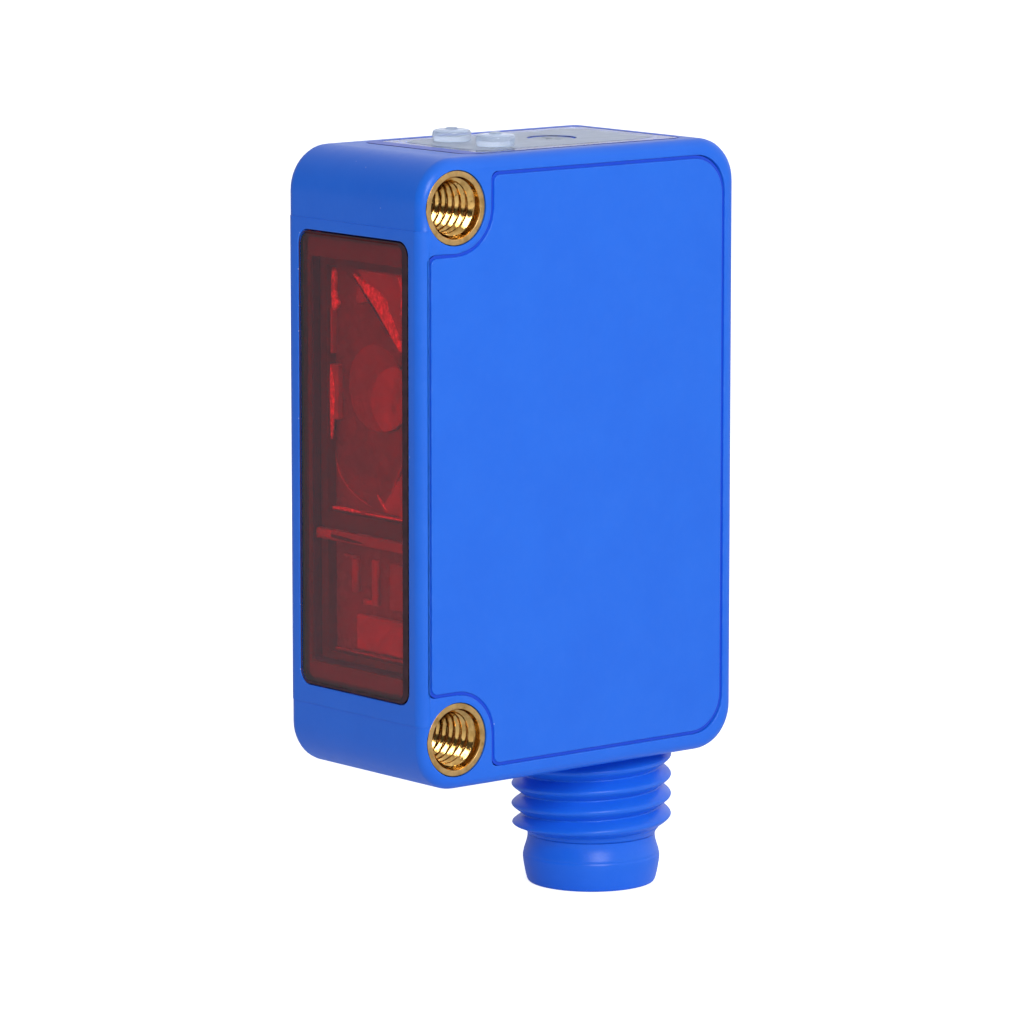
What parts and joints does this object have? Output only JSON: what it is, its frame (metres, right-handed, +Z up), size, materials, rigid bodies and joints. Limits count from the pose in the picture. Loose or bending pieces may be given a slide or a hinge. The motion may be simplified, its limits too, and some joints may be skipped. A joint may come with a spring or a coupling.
{
  "type": "photoelectric sensor",
  "caption": "Miniature block-shaped photoelectric sensor: red front window, flush side cover, threaded mounting bushes, indicator domes, top adjuster and a round threaded plug below.",
  "frame": {"origin": "on the flat mounting side, midway between the axes of the two threaded mounting bushes", "axes": "+X across the body from the mounting side to the cover side, +Y from the front window to the back, +Z up, away from the plug"},
  "size_m": [0.0104, 0.0198, 0.0379],
  "materials": {
    "blue_plastic": "fine satin moulded",
    "brass": "turned",
    "red_pane": "polished clear red",
    "black_rubber": "matt",
    "black_plastic": "satin moulded",
    "clear_plastic": "clear moulded",
    "led_resin": "clear resin",
    "spindle_plastic": "satin moulded",
    "trimmer_plastic": "satin moulded",
    "gold_plate": "gold plated",
    "circuit_board": "solder mask",
    "flex_film": "polyimide film",
    "chip_resin": "moulded epoxy",
    "capacitor_resin": "moulded epoxy",
    "capacitor_ceramic": "fired",
    "ferrite": "sintered"
  },
  "bodies": {
    "housing": {"housing": "blue_plastic", "side_cover": "blue_plastic", "plug_shell": "blue_plastic", "upper_threaded_bush": "brass", "lower_threaded_bush": "brass", "front_window": "red_pane", "window_seal": "black_rubber", "adjuster_seal": "black_rubber", "plug_seal": "black_rubber", "optics_frame": "black_plastic", "receiver_aperture": "black_plastic", "pin_carrier": "black_plastic", "receiver_lens": "clear_plastic", "emitter_lens": "clear_plastic", "light_guide": "clear_plastic", "power_light_pipe": "clear_plastic", "output_light_pipe": "clear_plastic", "emitter_led": "led_resin", "power_led": "led_resin", "output_led": "led_resin", "trimmer_body": "trimmer_plastic", "pin_1": "gold_plate", "pin_2": "gold_plate", "pin_3": "gold_plate", "pin_4": "gold_plate", "optics_board": "circuit_board", "main_board": "circuit_board", "display_board": "circuit_board", "plug_board": "circuit_board", "optics_flex": "flex_film", "display_flex": "flex_film", "plug_flex": "flex_film", "receiver_chip": "chip_resin", "signal_chip": "chip_resin", "controller_chip": "chip_resin", "output_driver": "chip_resin", "supply_regulator": "chip_resin", "protection_diode": "chip_resin", "storage_capacitor": "capacitor_resin", "filter_inductor": "ferrite", "bypass_capacitor_1": "capacitor_ceramic", "bypass_capacitor_2": "capacitor_ceramic", "bypass_capacitor_3": "capacitor_ceramic"},
    "adjuster": {"adjuster_spindle": "spindle_plastic", "trimmer_wiper": "spindle_plastic"}
  },
  "joints": [
    {"name": "adjuster_turn", "type": "hinge", "parent": "housing", "child": "adjuster", "pos_m": [0.0052, 0.0102, 0.0149], "axis": [0, 0, 1], "range_deg": [-135, 135]}
  ]
}
